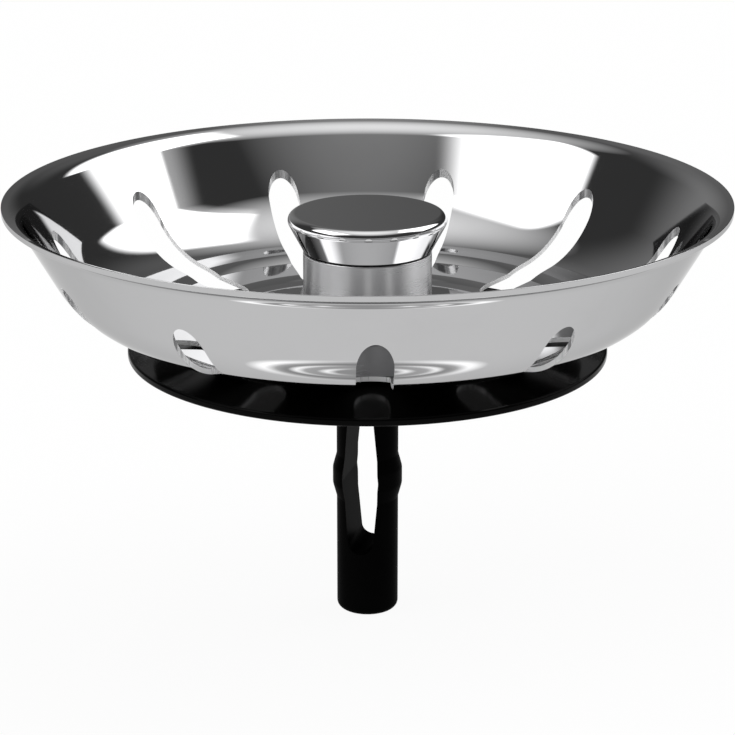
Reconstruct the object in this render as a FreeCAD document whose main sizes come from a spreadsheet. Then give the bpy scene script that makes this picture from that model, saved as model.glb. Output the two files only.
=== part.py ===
"""Basket strainer plug for a kitchen sink waste, as a parametric FreeCAD document.

A pressed steel bowl with radial slots carries a turned knob on a neck. A rubber disc is clamped under
the bowl by the flange of a sprung plastic stem, and the stud in the knob screws into the stem.
The axis is Z. The plane z = 0 is where the rubber's edge lies on the waste, and one slot points to -Y.
"""

import FreeCAD, Part
import math
import os
import re

import Sketcher

# Lengths in millimetres, angles in degrees, counts, and shares of the floor's run from hub to knee
SIZES = {
    # The bowl, measured over its outer face
    "rim_diameter": 84.0,
    "rim_height": 18.66,
    "sheet_thickness": 0.55,
    "lip_width": 1.45,
    "lip_lean": 18.0,
    "lip_bend": 2.6,
    "wall_lean": 29.8,
    "knee_height": 5.2,
    "knee_bend_share": 0.82,
    "floor_lean": 12.0,
    "first_step_share": 0.614,
    "step_pitch_share": 0.388,
    "step_run": 1.7,
    "step_fall": 0.62,
    "step_count": 2,
    "hub_diameter": 36.0,
    "hub_height": 1.75,
    # The slots in the plan view, from inside the rim's edge to a circle round the hub
    "slot_count": 11,
    "slot_width": 4.0,
    "slot_tip_inset": 4.6,
    "slot_root_radius": 19.3,
    # The neck and the knob above the bowl's floor
    "neck_diameter": 15.0,
    "neck_wall": 0.8,
    "neck_height": 9.76,
    "skirt_gap": 0.22,
    "skirt_diameter": 15.05,
    "head_diameter": 18.74,
    "head_height": 4.35,
    "head_chamfer": 0.7,
    "cap_wall": 0.7,
    "spigot_depth": 2.4,
    "spigot_fit": 0.1,
    "snap_height": 0.8,
    "snap_depth": 0.3,
    "snap_room": 0.15,
    # The stud in the knob and the insert that it screws into
    "stud_diameter": 5.0,
    "stud_length": 10.6,
    "stud_chamfer": 0.5,
    "stud_head_diameter": 8.4,
    "stud_head_height": 3.22,
    "thread_fit": 0.06,
    "insert_diameter": 6.6,
    "insert_length": 8.0,
    # The rubber disc
    "seal_diameter": 56.2,
    "seal_edge": 0.9,
    "seal_chamfer": 0.35,
    "seal_land": 2.0,
    "seal_hub_diameter": 20.0,
    "seal_hub_thickness": 1.5,
    # The stem, measured down from the plane of the rubber's edge
    "boss_diameter": 9.0,
    "boss_rise": 6.76,
    "boss_room": 0.1,
    "relief_depth": 0.8,
    "relief_room": 0.3,
    "flange_diameter": 18.0,
    "flange_thickness": 1.4,
    "flange_chamfer": 1.2,
    "stem_diameter": 7.33,
    "stem_reach": 32.54,
    "stem_turn": -16.0,
    "tip_chamfer": 0.7,
    "bow_depth": 15.5,
    "bow_rise": 0.465,
    "bow_flat": 2.2,
    "bow_length": 5.8,
    "gap_top": 6.4,
    "gap_length": 18.2,
    "gap_end_width": 3.1,
    "gap_middle_width": 4.4,
}

# Levels and radii that several pieces share
FLOOR_TOP = "(hub_height + sheet_thickness)"
NECK_TOP = f"({FLOOR_TOP} + neck_height)"
SKIRT_BOTTOM = f"({NECK_TOP} + skirt_gap)"
KNOB_TOP = f"({SKIRT_BOTTOM} + head_height)"
SPIGOT_BOTTOM = f"({NECK_TOP} - spigot_depth)"
SNAP_MIDDLE = f"({NECK_TOP} - spigot_depth / 2)"
STUD_HEAD_TOP = f"({NECK_TOP} + stud_head_height)"
STUD_TIP = f"({NECK_TOP} - stud_length)"
BOSS_TOP = f"({FLOOR_TOP} + boss_rise)"
INSERT_BOTTOM = f"({BOSS_TOP} - insert_length)"
RELIEF_BOTTOM = f"({INSERT_BOTTOM} - relief_depth)"
FLANGE_TOP = "(hub_height - seal_hub_thickness)"
FLANGE_BOTTOM = f"({FLANGE_TOP} - flange_thickness)"
BOSS_HOLE_RADIUS = "(boss_diameter / 2 + boss_room)"
NECK_BORE_RADIUS = "(neck_diameter / 2 - neck_wall)"
SPIGOT_RADIUS = f"({NECK_BORE_RADIUS} - spigot_fit)"
SKIRT_LEAN = "atan((head_diameter - skirt_diameter) / 2 / head_height)"
CAP_BORE_RADIUS = f"(skirt_diameter / 2 - cap_wall / cos({SKIRT_LEAN}))"
CAP_CEILING = f"({KNOB_TOP} - cap_wall)"
CAP_CEILING_RADIUS = f"({CAP_BORE_RADIUS} + (head_height - cap_wall) * tan({SKIRT_LEAN}))"

MATCH_SHARE = 1e-6  # of the rim's diameter, within which an edge counts as the one looked for

doc = FreeCAD.newDocument("SinkStrainer")
sheet = doc.addObject("Spreadsheet::Sheet", "Sizes")
for row, (alias, size) in enumerate(SIZES.items(), start=1):
    sheet.set(f"A{row}", alias)
    sheet.set(f"B{row}", str(size))
    sheet.setAlias(f"B{row}", alias)
doc.recompute()


def bound(formula):
    """The formula with each size's name pointing at its cell; every such name has an underscore."""
    return re.sub(r"[a-z]+(?:_[a-z]+)+", lambda name: f"Sizes.{name.group()}", formula)


def value(formula):
    """What the formula comes to with the sizes in the sheet."""
    return float(sheet.evalExpression(bound(formula)))


def new_body(label):
    """An empty body whose label names the sub-part."""
    body = doc.addObject("PartDesign::Body", label)
    body.Label = label
    return body


def new_sketch(body, name, plane):
    """An empty sketch on one of the body's own origin planes."""
    sketch = body.newObject("Sketcher::SketchObject", name)
    support = next(item for item in body.Origin.OriginFeatures if item.Role == plane)
    sketch.AttachmentSupport = [(support, "")]
    sketch.MapMode = "FlatFace"
    return sketch


def place(sketch, geometry, end, across, up):
    """Hold one point of a sketch at formulas across and up from the origin."""
    for kind, formula in (("DistanceX", across), ("DistanceY", up)):
        held = sketch.addConstraint(Sketcher.Constraint(kind, -1, 1, geometry, end, value(formula)))
        sketch.setExpression(f"Constraints[{held}]", bound(formula))


def arc(centre, radius, start, end):
    """A sketch arc about a centre between two angles in degrees."""
    circle = Part.Circle(FreeCAD.Vector(*centre, 0), FreeCAD.Vector(0, 0, 1), radius)
    return Part.ArcOfCircle(circle, math.radians(start), math.radians(end))


def bend_corner(sketch, before, after, point, radius):
    """Join two lines of a sketch by an arc tangent to both, whose corner is held at a point."""
    first, second = sketch.Geometry[before], sketch.Geometry[after]
    along = (first.EndPoint - first.StartPoint).normalize()
    left = along.cross(second.EndPoint - second.StartPoint).z > 0
    size = value(radius)
    centre = first.EndPoint + FreeCAD.Vector(-along.y, along.x, 0) * (size if left else -size)
    spokes = [end - centre for end in (first.EndPoint, second.StartPoint)]
    angles = [math.degrees(math.atan2(spoke.y, spoke.x)) for spoke in spokes]
    near, far = (1, 2) if left else (2, 1)
    bend = sketch.addGeometry(arc((centre.x, centre.y), size, *(angles if left else angles[::-1])))
    sketch.addConstraint(Sketcher.Constraint("Tangent", before, 2, bend, near))
    sketch.addConstraint(Sketcher.Constraint("Tangent", bend, far, after, 1))
    held = sketch.addConstraint(Sketcher.Constraint("Radius", bend, size))
    sketch.setExpression(f"Constraints[{held}]", bound(radius))
    corner = sketch.addGeometry(Part.Point(FreeCAD.Vector(*map(value, point), 0)), True)
    place(sketch, corner, 1, *point)
    for line in (before, after):
        sketch.addConstraint(Sketcher.Constraint("PointOnObject", corner, 1, line))


def outline(sketch, points):
    """A closed outline through (across, up) formulas; a third formula bends that corner to a radius."""
    corners = [FreeCAD.Vector(value(across), value(up), 0) for across, up, *_ in points]
    count = len(points)
    ways = [(corners[(index + 1) % count] - corner).normalize() for index, corner in enumerate(corners)]
    trims = []
    for index, (_, _, *bend) in enumerate(points):
        half_turn = ways[index - 1].getAngle(ways[index]) / 2
        trims.append(sum(map(value, bend)) * math.tan(half_turn))
    for index, corner in enumerate(corners):
        following = (index + 1) % count
        start = corner + ways[index] * trims[index]
        sketch.addGeometry(Part.LineSegment(start, corners[following] - ways[index] * trims[following]))
    for index, (across, up, *bend) in enumerate(points):
        previous = (index - 1) % count
        if bend:
            bend_corner(sketch, previous, index, (across, up), *bend)
        else:
            sketch.addConstraint(Sketcher.Constraint("Coincident", previous, 2, index, 1))
            place(sketch, index, 1, across, up)


def turned(label, points):
    """A body turned about the Z axis from an outline of (radius, height) formulas."""
    body = new_body(label)
    sketch = new_sketch(body, f"{label}_outline", "XZ_Plane")
    outline(sketch, points)
    solid = body.newObject("PartDesign::Revolution", f"{label}_turning")
    solid.Profile = sketch
    solid.ReferenceAxis = (sketch, ["V_Axis"])
    solid.Angle = 360
    sketch.Visibility = False
    doc.recompute()
    return body


def ring_names(shape, point):
    """The names of the shape's round edges that pass through a (radius, height) pair of formulas."""
    room = MATCH_SHARE * value("rim_diameter")
    target = [value(formula) for formula in point]
    names = []
    for number, edge in enumerate(shape.Edges, start=1):
        if isinstance(edge.Curve, Part.Circle):
            if math.dist((edge.Curve.Radius, edge.Curve.Center.z), target) < room:
                names.append(f"Edge{number}")
    return names


def bevel_ring(body, name, size, point):
    """Chamfer the turned edge through one point of a body."""
    base = body.Tip
    chamfer = body.newObject("PartDesign::Chamfer", name)
    chamfer.Base = (base, ring_names(base.Shape, point))
    chamfer.setExpression("Size", bound(size))
    doc.recompute()


def cut_through(body, sketch, name):
    """Cut a sketch through the whole body, both ways from its plane."""
    before = body.Shape.Volume
    pocket = body.newObject("PartDesign::Pocket", name)
    pocket.Profile = sketch
    pocket.Type = "ThroughAll"
    pocket.SideType = "Symmetric"
    pocket.Refine = False  # a merged face can spoil a thin wall
    sketch.Visibility = False
    doc.recompute()
    if body.Shape.Volume >= before:
        raise RuntimeError(f"{name} cuts nothing")
    return pocket


# Basket bowl

WALL_TOP_RADIUS = "(rim_diameter / 2 - lip_width)"
LIP_UNDERSIDE = "(rim_height - sheet_thickness / cos(lip_lean))"
WALL_TOP = f"({LIP_UNDERSIDE} - lip_width * tan(lip_lean))"
KNEE_RADIUS = f"({WALL_TOP_RADIUS} - ({WALL_TOP} - knee_height) * tan(wall_lean))"
KNEE_BEND = f"(knee_bend_share * ({KNEE_RADIUS} - hub_diameter / 2))"
WALL_RISE = "(90 - wall_lean)"


def raised(point):
    """A point of the floor's underside, moved up to its top."""
    radius, height = point
    return (radius, f"({height} + sheet_thickness)")


def inside_bend(point, steeper, flatter):
    """The inner corner of a bend of the sheet between two slopes, from its outer corner."""
    radius, height = point
    middle = f"(({steeper} + {flatter}) / 2)"
    spread = f"cos(({steeper} - {flatter}) / 2)"
    return (
        f"({radius} - sheet_thickness * sin{middle} / {spread})",
        f"({height} + sheet_thickness * cos{middle} / {spread})",
    )


def floor_steps():
    """The corners of the floor's terraces on its underside, from the knee to the hub."""
    points = []
    radius, height = KNEE_RADIUS, "knee_height"
    for step in range(SIZES["step_count"]):
        share = f"(first_step_share - {step} * step_pitch_share)"
        edge = f"(hub_diameter / 2 + ({KNEE_RADIUS} - hub_diameter / 2) * {share})"
        height = f"({height} - ({radius} - {edge}) * tan(floor_lean))"
        points.append((edge, height))
        radius = f"({edge} - step_run)"
        height = f"({height} - step_fall)"
        points.append((radius, height))
    return points


knee = (KNEE_RADIUS, "knee_height")
lip_root = (WALL_TOP_RADIUS, WALL_TOP)
inner_knee = inside_bend(knee, WALL_RISE, "floor_lean")
inner_lip_root = inside_bend(lip_root, WALL_RISE, "lip_lean")
terraces = floor_steps()
upper_terraces = [raised(point) for point in terraces]
hub_edge = ("(hub_diameter / 2)", "hub_height")
hub_hole = (BOSS_HOLE_RADIUS, "hub_height")
lip_edge = [("(rim_diameter / 2)", LIP_UNDERSIDE), ("(rim_diameter / 2)", "rim_height")]

bowl = turned(
    "basket_bowl",
    [lip_edge[0], (*lip_root, "lip_bend"), (*knee, KNEE_BEND)]
    + [*terraces, hub_edge, hub_hole, raised(hub_hole), raised(hub_edge), *reversed(upper_terraces)]
    + [(*inner_knee, f"{KNEE_BEND} - sheet_thickness")]
    + [(*inner_lip_root, "lip_bend + sheet_thickness"), lip_edge[1]],
)

slot = new_sketch(bowl, "slot_outline", "XY_Plane")
slot_root = "-(slot_root_radius + slot_width / 2)"
slot_tip = "-(rim_diameter / 2 - slot_tip_inset - slot_width / 2)"
half_slot = value("slot_width / 2")
slot_corners = [
    FreeCAD.Vector(side * half_slot, value(level), 0)
    for side, level in ((-1, slot_root), (-1, slot_tip), (1, slot_tip), (1, slot_root))
]
slot.addGeometry(arc((0, value(slot_root)), half_slot, 0, 180))
slot.addGeometry(Part.LineSegment(slot_corners[0], slot_corners[1]))
slot.addGeometry(arc((0, value(slot_tip)), half_slot, 180, 360))
slot.addGeometry(Part.LineSegment(slot_corners[2], slot_corners[3]))
for index in range(4):
    slot.addConstraint(Sketcher.Constraint("Tangent", index, 2, (index + 1) % 4, 1))
slot.addConstraint(Sketcher.Constraint("Vertical", 1))
slot_radius = slot.addConstraint(Sketcher.Constraint("Radius", 0, half_slot))
slot.setExpression(f"Constraints[{slot_radius}]", bound("slot_width / 2"))
place(slot, 0, 3, "0", slot_root)
place(slot, 2, 3, "0", slot_tip)
first_slot = cut_through(bowl, slot, "first_slot")

slots = bowl.newObject("PartDesign::PolarPattern", "slots")
slots.Originals = [first_slot]
slots.Axis = (slot, ["N_Axis"])
slots.Angle = 360
slots.Refine = False
slots.setExpression("Occurrences", bound("slot_count"))
bowl.Tip = slots
doc.recompute()

# Neck sleeve, with a groove that the knob's spigot snaps into

groove_radius = f"({NECK_BORE_RADIUS} + snap_depth)"
groove_reach = "(snap_height / 2 + snap_room)"
neck = turned(
    "neck_sleeve",
    [
        (NECK_BORE_RADIUS, FLOOR_TOP),
        ("neck_diameter / 2", FLOOR_TOP),
        ("neck_diameter / 2", NECK_TOP),
        (NECK_BORE_RADIUS, NECK_TOP),
        (NECK_BORE_RADIUS, f"{SNAP_MIDDLE} + {groove_reach}"),
        (groove_radius, f"{SNAP_MIDDLE} + {groove_reach}"),
        (groove_radius, f"{SNAP_MIDDLE} - {groove_reach}"),
        (NECK_BORE_RADIUS, f"{SNAP_MIDDLE} - {groove_reach}"),
    ],
)

# Knob: a turned cap over a moulded core that holds the stud

head_rim = ("head_diameter / 2", KNOB_TOP)
cap = turned(
    "knob_cap",
    [
        (CAP_BORE_RADIUS, SKIRT_BOTTOM),
        ("skirt_diameter / 2", SKIRT_BOTTOM),
        head_rim,
        ("0", KNOB_TOP),
        ("0", CAP_CEILING),
        (CAP_CEILING_RADIUS, CAP_CEILING),
    ],
)
bevel_ring(cap, "head_edge", "head_chamfer", head_rim)

bead_radius = f"({groove_radius} - snap_room)"
shoulder_radius = f"(({NECK_BORE_RADIUS} + neck_diameter / 2) / 2)"
core = turned(
    "knob_core",
    [
        ("stud_diameter / 2", SPIGOT_BOTTOM),
        (SPIGOT_RADIUS, SPIGOT_BOTTOM),
        (SPIGOT_RADIUS, f"{SNAP_MIDDLE} - snap_height / 2"),
        (bead_radius, SNAP_MIDDLE),
        (SPIGOT_RADIUS, f"{SNAP_MIDDLE} + snap_height / 2"),
        (SPIGOT_RADIUS, NECK_TOP),
        (shoulder_radius, NECK_TOP),
        (shoulder_radius, SKIRT_BOTTOM),
        (CAP_BORE_RADIUS, SKIRT_BOTTOM),
        (CAP_CEILING_RADIUS, CAP_CEILING),
        ("0", CAP_CEILING),
        ("0", STUD_HEAD_TOP),
        ("stud_head_diameter / 2", STUD_HEAD_TOP),
        ("stud_head_diameter / 2", NECK_TOP),
        ("stud_diameter / 2", NECK_TOP),
    ],
)

stud = turned(
    "knob_stud",
    [
        ("0", STUD_TIP),
        ("stud_diameter / 2 - stud_chamfer", STUD_TIP),
        ("stud_diameter / 2", f"{STUD_TIP} + stud_chamfer"),
        ("stud_diameter / 2", NECK_TOP),
        ("stud_head_diameter / 2", NECK_TOP),
        ("stud_head_diameter / 2", STUD_HEAD_TOP),
        ("0", STUD_HEAD_TOP),
    ],
)

# Rubber disc, domed down from the bowl's hub to its flat edge

SEAL_DOME = "((hub_height - seal_edge) / ((seal_diameter - seal_hub_diameter) / 2))"
seal = turned(
    "seal_disc",
    [
        (BOSS_HOLE_RADIUS, FLANGE_TOP),
        ("flange_diameter / 2", FLANGE_TOP),
        ("seal_diameter / 2 - seal_land", "0"),
        ("seal_diameter / 2", "0"),
        ("seal_diameter / 2", "seal_edge - seal_chamfer"),
        ("seal_diameter / 2 - seal_chamfer", f"seal_edge + seal_chamfer * {SEAL_DOME}"),
        ("seal_hub_diameter / 2", "hub_height"),
        (BOSS_HOLE_RADIUS, "hub_height"),
    ],
)

# Stem: a boss for the insert, the clamping flange, and a column split into two bowed legs

relief_radius = "(stud_diameter / 2 + relief_room)"
stem_radius = "(stem_diameter / 2)"
bow_radius = f"({stem_radius} + bow_rise)"
stem_bottom = "(-stem_reach)"
flange_root = (stem_radius, FLANGE_BOTTOM)
stem_tip = (stem_radius, stem_bottom)
stem = turned(
    "drain_stem",
    [
        ("insert_diameter / 2", BOSS_TOP),
        ("boss_diameter / 2", BOSS_TOP),
        ("boss_diameter / 2", FLANGE_TOP),
        ("flange_diameter / 2", FLANGE_TOP),
        ("flange_diameter / 2", FLANGE_BOTTOM),
        flange_root,
        (stem_radius, "-bow_depth + bow_length / 2"),
        (bow_radius, "-bow_depth + bow_flat / 2"),
        (bow_radius, "-bow_depth - bow_flat / 2"),
        (stem_radius, "-bow_depth - bow_length / 2"),
        stem_tip,
        ("0", stem_bottom),
        ("0", RELIEF_BOTTOM),
        (relief_radius, RELIEF_BOTTOM),
        (relief_radius, INSERT_BOTTOM),
        ("insert_diameter / 2", INSERT_BOTTOM),
    ],
)
bevel_ring(stem, "flange_gusset", "flange_chamfer", flange_root)
bevel_ring(stem, "tip_edge", "tip_chamfer", stem_tip)

gap = new_sketch(stem, "gap_outline", "XZ_Plane")
gap_upper = "-(gap_top + gap_end_width / 2)"
gap_lower = "-(gap_top + gap_length - gap_end_width / 2)"
gap_sides = [
    ("-gap_end_width / 2", gap_upper),
    ("-gap_middle_width / 2", "-bow_depth"),
    ("-gap_end_width / 2", gap_lower),
    ("gap_end_width / 2", gap_lower),
    ("gap_middle_width / 2", "-bow_depth"),
    ("gap_end_width / 2", gap_upper),
]
gap_corners = [FreeCAD.Vector(value(across), value(up), 0) for across, up in gap_sides]
half_gap = value("gap_end_width / 2")
gap.addGeometry(Part.LineSegment(gap_corners[0], gap_corners[1]))
gap.addGeometry(Part.LineSegment(gap_corners[1], gap_corners[2]))
gap.addGeometry(arc((0, value(gap_lower)), half_gap, 180, 360))
gap.addGeometry(Part.LineSegment(gap_corners[3], gap_corners[4]))
gap.addGeometry(Part.LineSegment(gap_corners[4], gap_corners[5]))
gap.addGeometry(arc((0, value(gap_upper)), half_gap, 0, 180))
for index, (across, up) in enumerate(gap_sides):
    gap.addConstraint(Sketcher.Constraint("Coincident", index, 2, (index + 1) % len(gap_sides), 1))
    place(gap, index, 1, across, up)
for index, level in ((2, gap_lower), (5, gap_upper)):
    held = gap.addConstraint(Sketcher.Constraint("DistanceY", -1, 1, index, 3, value(level)))
    gap.setExpression(f"Constraints[{held}]", bound(level))
cut_through(stem, gap, "leg_gap")
stem.Placement.Rotation = FreeCAD.Rotation(FreeCAD.Vector(0, 0, 1), 0)
stem.setExpression("Placement.Rotation.Angle", bound("stem_turn"))
doc.recompute()

# Threaded insert in the stem's boss

insert_bore = "(stud_diameter / 2 + thread_fit)"
insert = turned(
    "stem_insert",
    [
        (insert_bore, INSERT_BOTTOM),
        ("insert_diameter / 2", INSERT_BOTTOM),
        ("insert_diameter / 2", BOSS_TOP),
        (insert_bore, BOSS_TOP),
    ],
)

# Check the document and write one file for each sub-part

doc.recompute()
for item in doc.Objects:
    if {"Invalid", "Error"} & set(item.State):
        raise RuntimeError(f"{item.Label} failed: {item.State}")
os.makedirs("parts", exist_ok=True)
pieces = [bowl, neck, cap, core, stud, seal, stem, insert]
for piece in pieces:
    if piece.Shape.isNull() or not piece.Shape.isValid():
        raise RuntimeError(f"{piece.Label} has no valid shape")
for piece in pieces:
    piece.Shape.exportStep(os.path.join("parts", f"{piece.Label}.step"))
    box = piece.Shape.BoundBox
    print(f"{piece.Label}: {len(piece.Shape.Solids)} solid, {piece.Shape.Volume:.1f} mm3,"
          f" z {box.ZMin:.2f} to {box.ZMax:.2f}")
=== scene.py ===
"""Looks of a basket strainer plug for a kitchen sink waste.

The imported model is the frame. Each class builds one sub-assembly around it, in millimetres, and hands over
finished meshes in metres: the pressed bowl, the knob's cap and neck, the rubber disc and the stem. The
pieces inside keep their CAD shapes. The axis is Z, the rubber's edge lies in the plane z = 0, and one slot
of the bowl points to -Y.
"""

import logging
import math
from dataclasses import dataclass, field, replace
from enum import Enum, IntEnum
from functools import cache
from typing import Any, Mapping, Optional, Sequence, Union

import bmesh
import bpy
import numpy as np
from mathutils import Matrix, Vector


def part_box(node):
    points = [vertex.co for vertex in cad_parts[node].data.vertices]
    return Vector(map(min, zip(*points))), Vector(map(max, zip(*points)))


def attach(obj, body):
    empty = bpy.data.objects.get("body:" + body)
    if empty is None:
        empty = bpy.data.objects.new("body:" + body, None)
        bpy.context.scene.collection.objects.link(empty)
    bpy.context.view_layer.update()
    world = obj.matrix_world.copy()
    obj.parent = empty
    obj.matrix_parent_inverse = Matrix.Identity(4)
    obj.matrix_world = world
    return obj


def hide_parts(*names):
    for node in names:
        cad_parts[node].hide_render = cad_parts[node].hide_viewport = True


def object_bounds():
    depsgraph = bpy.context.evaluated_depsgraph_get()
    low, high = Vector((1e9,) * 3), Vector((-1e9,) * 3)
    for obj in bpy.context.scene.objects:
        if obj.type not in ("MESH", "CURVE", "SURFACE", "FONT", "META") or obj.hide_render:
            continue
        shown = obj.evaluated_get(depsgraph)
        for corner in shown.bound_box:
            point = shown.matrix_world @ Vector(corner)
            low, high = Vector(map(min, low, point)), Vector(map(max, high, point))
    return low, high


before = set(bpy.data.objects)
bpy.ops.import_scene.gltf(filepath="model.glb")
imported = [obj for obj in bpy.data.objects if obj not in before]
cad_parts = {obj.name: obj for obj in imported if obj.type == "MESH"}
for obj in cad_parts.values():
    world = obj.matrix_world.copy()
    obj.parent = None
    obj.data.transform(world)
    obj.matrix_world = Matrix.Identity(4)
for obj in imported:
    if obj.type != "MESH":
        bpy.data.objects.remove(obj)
CAD_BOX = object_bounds()

LOG = logging.getLogger("strainer")
MM = 0.001
WHITE = (1.0, 1.0, 1.0, 1.0)
FULL_TURN = 2 * math.pi
RIGHT_ANGLE = 90.0  # degrees
ORIGIN = (0, 0, 0)
UPWARDS = (0, 0, 1)
NOISE_MIDDLE = 0.5
NEAR_ZERO = 0.0001  # keeps a share from being divided by nothing
WELD = 1e-4  # millimetres within which points are one
HUB_RISE = 0.5  # millimetres that the bowl's hub stands above the CAD's, with the disc under it

Colour = tuple[float, float, float]
Pair = tuple[float, float]


class Body(Enum):
    """The bodies of the frame that pieces ride on."""

    BASKET = "basket"
    NECK = "neck"
    KNOB = "knob"


class Slot(Enum):
    """The record's material slots; each new piece carries one, which nothing here uses further."""

    POLISHED_STEEL = "polished_steel"
    SATIN_STEEL = "satin_steel"
    POLISHED_CHROME = "polished_chrome"
    SEAL_RUBBER = "seal_rubber"
    STEM_PLASTIC = "stem_plastic"


class FaceKind(IntEnum):
    """The material index of a face."""

    SKIN = 0
    CUT = 1


# Shader graphs


class Wire:
    """A socket that can be used in Python sums."""

    def __init__(self, graph: "Graph", socket: Optional[bpy.types.NodeSocket]) -> None:
        """Keep the graph, which adds the nodes, and the socket."""
        self.graph = graph
        self.socket = socket

    def _math(self, operation: str, *operands: "Value") -> "Wire":
        """Add one Math node."""
        return self.graph.node("ShaderNodeMath", {"operation": operation}, dict(enumerate(operands)))

    def __add__(self, other: "Value") -> "Wire":
        """self + other."""
        return self._math("ADD", self, other)

    def __radd__(self, other: "Value") -> "Wire":
        """other + self."""
        return self._math("ADD", other, self)

    def __sub__(self, other: "Value") -> "Wire":
        """self - other."""
        return self._math("SUBTRACT", self, other)

    def __rsub__(self, other: "Value") -> "Wire":
        """other - self."""
        return self._math("SUBTRACT", other, self)

    def __mul__(self, other: "Value") -> "Wire":
        """self * other."""
        return self._math("MULTIPLY", self, other)

    def __neg__(self) -> "Wire":
        """self with the other sign."""
        return self._math("MULTIPLY", -1.0, self)

    def __truediv__(self, other: "Value") -> "Wire":
        """self / other."""
        return self._math("DIVIDE", self, other)

    def root(self) -> "Wire":
        """The square root of self."""
        return self._math("POWER", self, 0.5)

    def arc_cosine(self) -> "Wire":
        """The angle whose cosine is self."""
        return self._math("ARCCOSINE", self)

    def at_most(self, other: "Value") -> "Wire":
        """The smaller of self and other."""
        return self._math("MINIMUM", self, other)

    def at_least(self, other: "Value") -> "Wire":
        """The larger of self and other."""
        return self._math("MAXIMUM", self, other)

    def angle_to(self, other: "Value") -> "Wire":
        """The angle whose tangent is self over other."""
        return self._math("ARCTAN2", self, other)


Value = Union[Wire, float]


@dataclass(frozen=True)
class Grain:
    """A noise: features per metre, octaves, and the weight of the finer ones."""

    scale: float
    detail: float
    weight: float = 0.5


class Graph:
    """A node tree that is written as Python expressions."""

    def __init__(self, tree: bpy.types.NodeTree) -> None:
        """Start from an empty tree."""
        self.tree = tree
        tree.nodes.clear()

    @staticmethod
    def _find(sockets: Any, key: Union[int, str]) -> bpy.types.NodeSocket:
        """The socket with an index, an identifier or a name."""
        matches = [socket for socket in sockets if socket.identifier == key]
        return matches[0] if matches else sockets[key]

    def node(
        self,
        kind: str,
        settings: Optional[Mapping[str, Any]] = None,
        sockets: Optional[Mapping[Union[int, str], Any]] = None,
        output: Union[int, str] = 0,
    ) -> Wire:
        """Add a node.

        Args:
            kind: The node's type.
            settings: Its own settings, set first; "stops" fills a colour ramp.
            sockets: Values or wires for its inputs, by index, identifier or name.
            output: The output that is handed back.

        Returns:
            A wire from that output.
        """
        made = self.tree.nodes.new(kind)
        for name, value in (settings or {}).items():
            if name == "stops":
                self._fill_ramp(made.color_ramp, value)
            else:
                setattr(made, name, value)
        for key, value in (sockets or {}).items():
            socket = self._find(made.inputs, key)
            if isinstance(value, Wire):
                self.tree.links.new(value.socket, socket)
            else:
                socket.default_value = value
        return Wire(self, self._find(made.outputs, output) if made.outputs else None)

    @staticmethod
    def _fill_ramp(ramp: bpy.types.ColorRamp, stops: Sequence[Pair]) -> None:
        """Give a ramp grey stops.

        Args:
            ramp: The colour ramp.
            stops: Pairs of position and grey level.
        """
        while len(ramp.elements) < len(stops):
            ramp.elements.new(1.0)
        for element, (position, level) in zip(ramp.elements, stops):
            element.position = position
            element.color = (level, level, level, 1.0)

    def outlets(self, wire: Wire) -> dict[str, Wire]:
        """All the outputs of a wire's node, by name."""
        return {socket.name: Wire(self, socket) for socket in wire.socket.node.outputs}

    def parts(self, vector: Wire) -> tuple[Wire, Wire, Wire]:
        """The X, Y and Z of a vector."""
        return tuple(self.outlets(self.node("ShaderNodeSeparateXYZ", sockets={0: vector})).values())

    def object_point(self) -> Wire:
        """The shaded point in the piece's own coordinates, in metres."""
        return self.node("ShaderNodeTexCoord", output="Object")

    def along(self, vector: Wire, axis: Vector) -> Wire:
        """How far a vector goes along an axis."""
        settings = {"operation": "DOT_PRODUCT"}
        return self.node("ShaderNodeVectorMath", settings, {0: vector, 1: axis}, "Value")

    def vector(self, x: Value, y: Value, z: Value) -> Wire:
        """A vector from three values."""
        return self.node("ShaderNodeCombineXYZ", sockets={0: x, 1: y, 2: z})

    def noise(self, place: Wire, grain: Grain) -> Wire:
        """Smooth noise between 0 and 1, read at a place."""
        sockets = {"Scale": grain.scale, "Detail": grain.detail, "Roughness": grain.weight}
        return self.node("ShaderNodeTexNoise", sockets={"Vector": place, **sockets})

    def smooth_step(self, value: Wire, low: float, high: float) -> Wire:
        """Rise smoothly from 0 to 1 as a value goes from low to high."""
        sockets = {"Value": value, "From Min": low, "From Max": high}
        return self.node("ShaderNodeMapRange", {"interpolation_type": "SMOOTHSTEP"}, sockets)

    def shades(self, factor: Wire, first: Colour, second: Colour) -> Wire:
        """A colour between two, by a factor."""
        sockets = {"Factor_Float": factor, "A_Color": (*first, 1.0), "B_Color": (*second, 1.0)}
        return self.node("ShaderNodeMix", {"data_type": "RGBA"}, sockets, "Result_Color")

    def bump(self, height: Wire, strength: float, distance: float) -> Wire:
        """A normal that follows a height, where 1 stands for a distance in metres."""
        sockets = {"Height": height, "Strength": strength, "Distance": distance}
        return self.node("ShaderNodeBump", sockets=sockets)


# Finishes


@dataclass(frozen=True)
class Finish:
    """A procedural material, made once for each finish."""

    name: str

    def surface(self, graph: Graph) -> Mapping[str, Any]:
        """The inputs of the surface shader; each finish has its own."""
        raise NotImplementedError

    @cache
    def material(self) -> bpy.types.Material:
        """The finish as a material.

        Returns:
            The material, made at the first call.
        """
        made = bpy.data.materials.new(self.name)
        made.use_nodes = True
        graph = Graph(made.node_tree)
        shader = graph.node("ShaderNodeBsdfPrincipled", sockets=self.surface(graph))
        graph.node("ShaderNodeOutputMaterial", sockets={"Surface": shader})
        return made


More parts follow.
